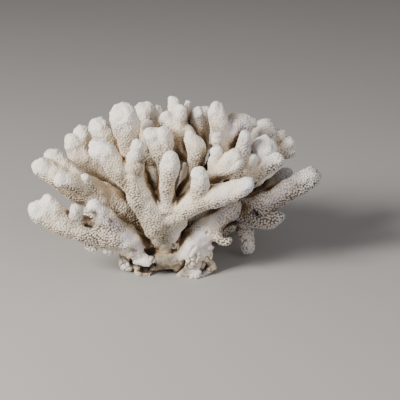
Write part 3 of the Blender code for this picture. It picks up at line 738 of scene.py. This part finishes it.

# The patches of the front, and the (across, up, radius) of their spots in the front view. Lilac is a tint;
# olive is a greenish crust tint made darker as painted shade on the shaded boss; chalk is a chalky white,
# also painted light on the shaded hanging spur; the umber spots are painted shade in crevices and holes.
# Open lessens the painted shade in the hollows between limbs, and smooth wears off the grains and the crust.
PATCHES = {
    "lilac": [
        (-56, 44, 9), (-46, 33, 10), (-35, 26, 9), (-24, 17, 7), (-16, 4, 5), (36, 17, 6), (26, 25, 7),
        (46, 44, 11), (60, 38, 12), (74, 40, 14), (92, 52, 14), (60, 117, 12), (72, 104, 12), (70, 69, 7),
        (88, 90, 9), (102, 70, 12), (66, 66, 7), (28, 133, 8), (18, 138, 6), (28, -6, 6),
    ],
    # a greenish grey crust, made darker as painted shade on the boss under the trunk and in crevices
    "olive_and_shade": [
        (-8, 10, 8), (-4, 3, 10), (3, 5, 9), (4, 12, 6), (-30, 40, 8), (-22, -8, 6), (14, -4, 6),
        (-3, 24, 9), (1, 30, 8),
        (64, 12, 6), (90, 118, 7), (-78, 38, 6),
    ],
    # a chalky white crust, also painted light on the hanging spur, which lies in shade
    "chalk_and_light": [
        (-22, 4, 8), (10, 24, 8), (16, 14, 8), (26, 34, 8), (-36, 0, 8), (-62, 55, 6), (24, -8, 7),
        (48, 20, 5), (-38, 18, 7), (66, 20, 12), (30, 12, 7), (20, 8, 6),
    ],
    # painted shade: umber spots in the crevices beside the trunk, under the foot and between fingers
    "shade_spots": [
        (-26, 80, 7), (-38, 73, 5), (-22, 90, 5), (33, -2, 4), (56, 31, 8), (-66, 38, 6),
        (-2, -4, 8), (40, 116, 4), (17, 122, 4), (98, 103, 5),
    ],
    "open": [
        (-54, 56, 14), (-75, 72, 12), (-41, 22, 12), (-34, 116, 12), (48, 118, 14), (60, 92, 10),
        (24, 41, 9), (-60, 40, 8), (0, 104, 8),
    ],
    "smooth": [
        (-4, 6, 12), (10, 22, 9), (18, 16, 8), (12, 8, 8), (24, 12, 8), (30, 22, 9), (-20, 5, 5),
        (-30, 24, 9), (-22, 16, 8), (36, 16, 6), (34, 38, 8),
    ],
}
MARK_DEPTH = 26.0

# How far out the skin is probed for other limbs, in millimetres, and what each probe counts.
PROBES = [(3.0, 0.8), (7.0, 1.0), (15.0, 1.1)]


def front_view(points):
    """Across and up of each point as the front view shows it: its sight line's place in the view plane."""
    reach = (points - EYE) @ FORWARD / EYE_DISTANCE
    shown = EYE + (points - EYE) / reach[:, None]
    return shown @ RIGHTWARD, shown @ UPWARD


def marked(across, up, spots):
    """The strongest of the bell-shaped spots (across, up, radius) at each point, from 0 to 1."""
    strongest = np.zeros(len(across), np.float32)
    for spot_across, spot_up, radius in spots:
        apart = ((across - spot_across) ** 2 + (up - spot_up) ** 2) / radius**2
        strongest = np.maximum(strongest, np.exp(-apart))
    return strongest


def worn(across, up, line, radius):
    """How near each point is to a line of (across, up) points: a bell across it, from 0 to 1."""
    nearest = np.full(len(across), np.inf)
    for (from_across, from_up), (to_across, to_up) in zip(line, line[1:]):
        run, rise = to_across - from_across, to_up - from_up
        along = ((across - from_across) * run + (up - from_up) * rise) / (run**2 + rise**2)
        along = np.clip(along, 0, 1)
        apart = (across - from_across - along * run) ** 2 + (up - from_up - along * rise) ** 2
        nearest = np.minimum(nearest, apart)
    return np.exp(-nearest / radius**2)


def closeness(points, normals, samples):
    """How closed in the skin is, from 0 in the open to 1 deep between limbs.

    From each point the normal is followed by each probe's length. A probe counts by how much nearer than its
    own length the next limb is there. The result is used as painted shade, darkening the colour deep between
    limbs.
    """
    centres = samples[::2, :3].astype(np.float32)
    radius = samples[::2, 3].astype(np.float32)
    squares = (centres**2).sum(axis=1)
    closed = np.zeros(len(points), np.float32)
    for reach, weight in PROBES:
        for start in range(0, len(points), BATCH):
            part = (points[start:start + BATCH] + reach * normals[start:start + BATCH]).astype(np.float32)
            apart = (part**2).sum(axis=1)[:, None] + squares - 2 * part @ centres.T
            gap = (np.sqrt(np.maximum(apart, 0)) - radius).min(axis=1)
            closed[start:start + BATCH] += weight * np.clip(1 - gap / reach, 0, 1)
    return closed / sum(weight for _, weight in PROBES)


def skin_relief(points, normals, samples, nearest):
    """Heights along the normals in millimetres, and the tints that follow them, all from 0 to 1.

    A height is the sum of soft lumps of several sizes, domes around evenly strewn points for the
    grains, ridged cells for the crust on the foot, and bell-shaped hollows.
    """
    x, y, z = points.T
    to_tip = samples[nearest, 6]
    front = 1 - ramp(y, FRONT_FADES, FRONT_FADES + MARK_DEPTH)
    across, up = front_view(points)
    patch = {name: front * marked(across, up, spots) for name, spots in PATCHES.items()}
    # painted shade: tan to dark umber deep between limbs, kept off the tips and lessened by the open patches
    closed = closeness(points, normals, samples) * ramp(to_tip, *CLOSED_RISES) * (1 - 0.8 * patch["open"])
    tip = (1 - ramp(to_tip, *TIP_FADES)) * (1 - closed)
    # painted shade: faces that look down get a darker, sandier colour
    underside_shade = ramp(-normals[:, 2], -0.2, 0.7)
    low = 1 - ramp(z, *LOW_FADES)
    crusty = (1 - ramp(z, *CRUST_FADES)) * ramp(-y, *CRUST_RISES)
    crust = crusty * (1 - 0.85 * patch["smooth"])
    grained = 1 - 0.85 * np.maximum(patch["smooth"], 0.8 * crusty)
    # the grey of the low right arm: partly its own grey colour, partly painted shade, growing outwards along
    # the arm
    right_low = ramp(x, *RIGHT_RISES) * (1 - ramp(z, *RIGHT_FADES_UP))
    right_low = right_low * (1 - ramp(y, *RIGHT_FADES_BACK))
    low_arm = samples[nearest, 4] == list(LIMBS).index("right_low_arm")
    right_low = np.maximum(0.6 * right_low, low_arm * ramp(x, *LOW_ARM_RISES)) * (1 - patch["chalk_and_light"])

    height = np.zeros(len(points), np.float32)
    for number, (size, amount) in enumerate(LUMPS):
        height += amount * ripple(points, size, 11 + number)
    height += 0.9 * right_low * ripple(points, 5.0, 17)
    height += 0.8 * tip * ripple(points, 4.6, 19)

    far_right = ramp(x, *FAR_RIGHT_RISES)
    dotted = 0.85 * np.maximum(0.8 * underside_shade, low)
    coarse = 0.24 + dotted + 0.6 * np.maximum(right_low, 0.6 * far_right) - 0.15 * tip
    coarse = np.clip(coarse + 0.25 * ripple(points, 14.0, 23) - 0.5 * patch["smooth"], 0.12, 1.2)
    seeds, sieve = strewn(points, GRAIN_GAP, np.random.default_rng(5))
    first, second = nearest_two(points, seeds, sieve)
    dome = 1 - np.clip(first / (0.74 * GRAIN_GAP), 0, 1) ** 2
    groove = 1 - ramp(second - first, 0.0, 0.62 * GRAIN_GAP)
    pore = ramp(first, 0.44 * GRAIN_GAP, 0.66 * GRAIN_GAP) * grained
    height += GRAIN_HEIGHT * grained * (0.45 + 0.75 * coarse) * (dome - 0.35 * groove - 0.4)

    facets, facet_sieve = strewn(points, CRUST_GAP, np.random.default_rng(6))
    near, far = nearest_two(points, facets, facet_sieve)
    block = np.clip((far - near) / 1.6, 0, 1)
    rough = np.clip(0.5 + 1.2 * ripple(points, 9.0, 31), 0, 1)
    height += crust * rough * (2.5 * block - 1.8 + 1.5 * ripple(points, 6.0, 29))

    pitted = np.zeros(len(points))
    for radius, depth, line in HOLLOWS:
        hollow = front * worn(across, up, line, radius)
        height -= depth * hollow
        pitted = np.maximum(pitted, hollow * ramp(np.array(depth), 0.0, 4.0))
    tints = {
        "tip": tip,
        # painted shade: dark brown in the grooves and pores between the grains
        "groove": (0.45 * groove * grained + pore) * coarse,
        # painted shade deep between limbs
        "closed": closed,
        "underside_shade": underside_shade,
        # painted shade: umber in the cracks between crust facets
        "crack_shade": crust * rough * (1 - block),
        # painted shade: near black in the deeper hollows
        "pit_shade": pitted,
        "foot": (1 - ramp(z, *FOOT_FADES)),
        # grey of the low right arm, partly painted shade
        "grey": right_low,
        **{name: patch[name] for name in ("lilac", "olive_and_shade", "chalk_and_light", "shade_spots")},
    }
    return height, tints


def closed_piece(name, points, quads, tints):
    """One limb of the skin as its own closed mesh: each cut gets a flat-shaded fan round its middle."""
    used, corners = np.unique(quads, return_inverse=True)
    quads = corners.reshape(-1, 4)
    starts = quads.ravel()
    ends = np.roll(quads, -1, axis=1).ravel()
    count = len(used)
    forward, back = starts.astype(np.int64) * count + ends, ends.astype(np.int64) * count + starts
    rim = ~np.isin(forward, back)
    rim_start, rim_end = starts[rim], ends[rim]
    loop_of = {}
    follow = dict(zip(rim_start.tolist(), rim_end.tolist()))
    loops = 0
    for seed in follow:
        corner = seed
        while corner in follow and corner not in loop_of:
            loop_of[corner] = loops
            corner = follow[corner]
        loops += loop_of[seed] == loops
    number = np.array([loop_of[corner] for corner in rim_start.tolist()], int)
    middles = [points[used[rim_start[number == loop]]].mean(axis=0) for loop in range(loops)]
    fans = np.column_stack([rim_end, rim_start, count + number])
    corners = np.vstack([points[used], np.array(middles).reshape(-1, 3)])
    mesh = new_mesh(name, corners, quads, fans)
    smooth = np.concatenate([np.ones(len(quads), bool), np.zeros(len(fans), bool)])
    mesh.polygons.foreach_set("use_smooth", smooth)
    for tint, values in tints.items():
        layer = mesh.attributes.new(tint, "FLOAT", "POINT")
        layer.data.foreach_set("value", np.append(values[used], np.zeros(loops)).astype(np.float32))
    piece = bpy.data.objects.new(name, mesh)
    bpy.context.collection.objects.link(piece)
    if len(mesh.polygons) > MOST_FACES or mesh_middle(points[used])[1] > BACK_STARTS:
        thin_out(piece, np.append(tints["closed"][used], np.ones(loops)), points[used])
    return piece


def mesh_middle(points):
    """The middle of the box round the points."""
    return 0.5 * (points.min(axis=0) + points.max(axis=0))


def thin_out(piece, closed, points):
    """Fewer triangles where the skin is closed in or faces the back, and most of them kept in front."""
    hidden = np.append(ramp(points[:, 1], 0.0, 40.0), np.ones(len(closed) - len(points)))
    weight = np.clip(0.1 + 0.9 * np.maximum(ramp(closed, 0.35, 0.8), hidden), 0, 1)
    group = piece.vertex_groups.new(name="hidden")
    for level in range(1, 11):
        picked = np.flatnonzero(np.ceil(weight * 10) == level)
        group.add(picked.tolist(), level / 10, "REPLACE")
    fewer = piece.modifiers.new("fewer", "DECIMATE")
    triangles = 2 * len(piece.data.polygons)
    fewer.ratio = min(BACK_SHARE, MOST_TRIANGLES / triangles)
    fewer.vertex_group = "hidden"
    fewer.vertex_group_factor = 1.0
    mesh = bpy.data.meshes.new_from_object(piece.evaluated_get(bpy.context.evaluated_depsgraph_get()))
    piece.modifiers.clear()
    piece.vertex_groups.clear()
    piece.data = mesh


def node(tree, kind, inputs=(), **settings):
    """A shader node with its settings, its inputs set to values or fed from other nodes' outputs."""
    made = tree.nodes.new(kind)
    for key, value in settings.items():
        setattr(made, key, value)
    for key, value in dict(inputs).items():
        if isinstance(value, bpy.types.NodeSocket):
            tree.links.new(value, made.inputs[key])
        else:
            made.inputs[key].default_value = value
    return made


def tinted(tree, amount, below, above, blend="MIX"):
    """The colour above laid over the colour below by an amount from 0 to 1."""
    made = tree.nodes.new("ShaderNodeMix")
    made.data_type = "RGBA"
    made.blend_type = blend
    for socket, value in ((made.inputs[0], amount), (made.inputs[6], below), (made.inputs[7], above)):
        if isinstance(value, bpy.types.NodeSocket):
            tree.links.new(value, socket)
        else:
            socket.default_value = value
    return made.outputs[2]


def scaled(tree, value, factor, add=0.0):
    """value times factor plus add, kept from 0 to 1."""
    inputs = {0: value, 1: factor, 2: add}
    return node(tree, "ShaderNodeMath", inputs, operation="MULTIPLY_ADD", use_clamp=True).outputs[0]


def colour(red, green, blue):
    """An opaque colour."""
    return (red, green, blue, 1.0)


CREAM = colour(0.87, 0.74, 0.56)
CREAM_PALE = colour(0.90, 0.81, 0.68)
CREAM_WARM = colour(0.87, 0.69, 0.48)
SAND = colour(0.56, 0.47, 0.35)
CHALK = colour(0.93, 0.91, 0.90)
LILAC = colour(0.50, 0.46, 0.59)
OLIVE_AND_SHADE = colour(0.14, 0.12, 0.08)
ASH_AND_SHADE = colour(0.30, 0.275, 0.285)
SHADE_TAN = colour(0.52, 0.36, 0.19)
SHADE_UMBER = colour(0.13, 0.08, 0.045)
GROOVE_SHADE = colour(0.14, 0.105, 0.07)
PIT_SHADE = colour(0.045, 0.03, 0.022)


def bone_finish(name):
    """The dry skeleton: cream, whiter at the tips, with painted shade in brown between its grains, deep
    between limbs, on its undersides and in its cracks and pits.
    """
    material = bpy.data.materials.new(name)
    material.use_nodes = True
    tree = material.node_tree
    shader = tree.nodes["Principled BSDF"]
    place = node(tree, "ShaderNodeTexCoord").outputs["Object"]

    def cloud(size, detail=2.0, roughness=0.5):
        """Soft noise from 0 to 1 whose clouds are about size across, in millimetres."""
        inputs = {"Vector": place, "Scale": 1 / (size * MM), "Detail": detail, "Roughness": roughness}
        return node(tree, "ShaderNodeTexNoise", inputs).outputs[0]

    def tint(name):
        """One of the skin's own tints."""
        return node(tree, "ShaderNodeAttribute", attribute_name=name).outputs["Fac"]

    def both(one, other):
        """The two amounts times each other."""
        return node(tree, "ShaderNodeMath", {0: one, 1: other}, operation="MULTIPLY").outputs[0]

    broken = scaled(tree, cloud(5.0, 4.0, 0.6), 3.4, -1.2)
    layers = [
        (scaled(tree, cloud(18.0), 3.0, -1.0), CREAM_PALE),
        (scaled(tree, cloud(26.0), 3.0, -1.4), CREAM_WARM),
        # painted shade: sand on the undersides
        (both(tint("underside_shade"), 0.22), SAND),
        (both(tint("foot"), 0.2), SAND),
        (both(tint("lilac"), scaled(tree, broken, 0.6, 0.3)), LILAC),
        # greenish crust, partly painted shade
        (both(tint("olive_and_shade"), scaled(tree, broken, 0.3, 0.7)), OLIVE_AND_SHADE),
        # chalky white, partly painted light
        (both(tint("chalk_and_light"), scaled(tree, broken, 0.7, 0.3)), CHALK),
        # ash grey of the low right arm, partly painted shade
        (both(tint("grey"), scaled(tree, broken, 0.3, 0.62)), ASH_AND_SHADE),
        (scaled(tree, tint("tip"), 0.5), CHALK),
        # painted shade: tan, then dark umber, where the skin is closed in between limbs
        (scaled(tree, tint("closed"), 2.6, -0.62), SHADE_TAN),
        (scaled(tree, tint("closed"), 3.4, -1.25), SHADE_UMBER),
        # painted shade: umber spots in crevices and holes
        (both(tint("shade_spots"), scaled(tree, broken, 1.0, 0.1)), SHADE_UMBER),
        # painted shade between the grains
        (scaled(tree, tint("groove"), 0.8, -0.08), GROOVE_SHADE),
        # painted shade in the cracks of the crust
        (scaled(tree, tint("crack_shade"), 1.3, -0.1), SHADE_UMBER),
        # painted shade inside the hollows
        (scaled(tree, tint("pit_shade"), 1.5, -0.35), PIT_SHADE),
    ]
    base = CREAM
    for amount, above in layers:
        base = tinted(tree, amount, base, above)
    speckle = scaled(tree, cloud(1.2, 3.0, 0.6), 1.8, -0.4)
    grey = node(tree, "ShaderNodeCombineColor", {0: speckle, 1: speckle, 2: speckle}).outputs[0]
    base = tinted(tree, 0.2, base, grey, "OVERLAY")
    tree.links.new(base, shader.inputs["Base Color"])
    shader.inputs["Roughness"].default_value = 0.82
    shader.inputs["Specular IOR Level"].default_value = 0.3
    relief = {"Height": cloud(0.7, 3.0, 0.6), "Strength": 0.4, "Distance": 0.25 * MM}
    pores = node(tree, "ShaderNodeBump", relief)
    tree.links.new(pores.outputs["Normal"], shader.inputs["Normal"])
    return material


def floor_finish():
    """A pale, plain matt floor with the faintest clouds."""
    material = bpy.data.materials.new("pale_floor")
    material.use_nodes = True
    tree = material.node_tree
    shader = tree.nodes["Principled BSDF"]
    place = node(tree, "ShaderNodeTexCoord").outputs["Object"]
    clouds = node(tree, "ShaderNodeTexNoise", {"Vector": place, "Scale": 3.0, "Detail": 2.0}).outputs[0]
    base = tinted(tree, clouds, colour(0.40, 0.375, 0.355), colour(0.43, 0.405, 0.385))
    tree.links.new(base, shader.inputs["Base Color"])
    shader.inputs["Roughness"].default_value = 0.9
    return material


def build_coral():
    """The skin of the whole coral, shared out among its limbs."""
    fingers = list(HOLDFAST) + TRUNK_SIDES
    for limb in LIMBS.values():
        fingers += [limb["stem"]] + limb["fingers"]
    points, normals, quads = melted_skin([smooth_path(finger) for finger in fingers])
    samples = limb_samples()
    nearest = nearest_samples(points, samples)
    limb = limb_of_points(points, samples, nearest)
    height, tints = skin_relief(points, normals, samples, nearest)
    points = points + normals * height[:, None]
    points[:, 2] = np.maximum(points[:, 2], 0)
    face_limb = np.min(limb[quads], axis=1)
    ordinary = bone_finish("dry_bone")
    for number, name in enumerate(["holdfast", *LIMBS], -1):
        piece = closed_piece(name + "_skin", points, quads[face_limb == number], tints)
        piece.data.materials.append(ordinary)
        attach(piece, "root")
        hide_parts(name)


def area_light(name, place, aim, size, power, tone):
    """A soft square light that looks at a point."""
    data = bpy.data.lights.new(name, "AREA")
    data.size = size
    data.energy = power
    data.color = tone
    light = bpy.data.objects.new(name, data)
    light.location = place
    light.rotation_mode = "QUATERNION"
    light.rotation_quaternion = (Vector(aim) - Vector(place)).to_track_quat("-Z", "Y")
    bpy.context.collection.objects.link(light)


def build_studio():
    """The floor, the lights and the camera at the front view of the layout."""
    side = 6.0
    corners = np.array([(-side, -side, 0), (side, -side, 0), (side, side, 0), (-side, side, 0)]) / MM
    floor = bpy.data.objects.new("studio_floor", new_mesh("studio_floor", corners, np.array([[0, 1, 2, 3]])))
    floor.data.materials.append(floor_finish())
    bpy.context.collection.objects.link(floor)
    middle = (0.0, 0.0, 0.07)
    area_light("key", (-0.92, -0.72, 0.80), middle, 0.45, 36.0, (1.0, 0.98, 0.95))
    area_light("fill", (0.8, -1.0, 0.6), middle, 1.2, 7.0, (0.95, 0.96, 1.0))
    world = bpy.data.worlds.new("studio")
    world.use_nodes = True
    world.node_tree.nodes["Background"].inputs["Color"].default_value = colour(0.95, 0.97, 1.0)
    world.node_tree.nodes["Background"].inputs["Strength"].default_value = 0.2
    bpy.context.scene.world = world
    data = bpy.data.cameras.new("front_view")
    data.sensor_width = 36.0
    data.lens = 36.0 * EYE_DISTANCE / VIEW_WIDTH
    camera = bpy.data.objects.new("front_view", data)
    camera.location = EYE * MM
    camera.rotation_mode = "QUATERNION"
    camera.rotation_quaternion = Vector(FORWARD).to_track_quat("-Z", "Y")
    bpy.context.collection.objects.link(camera)
    bpy.context.scene.camera = camera


build_coral()
build_studio()
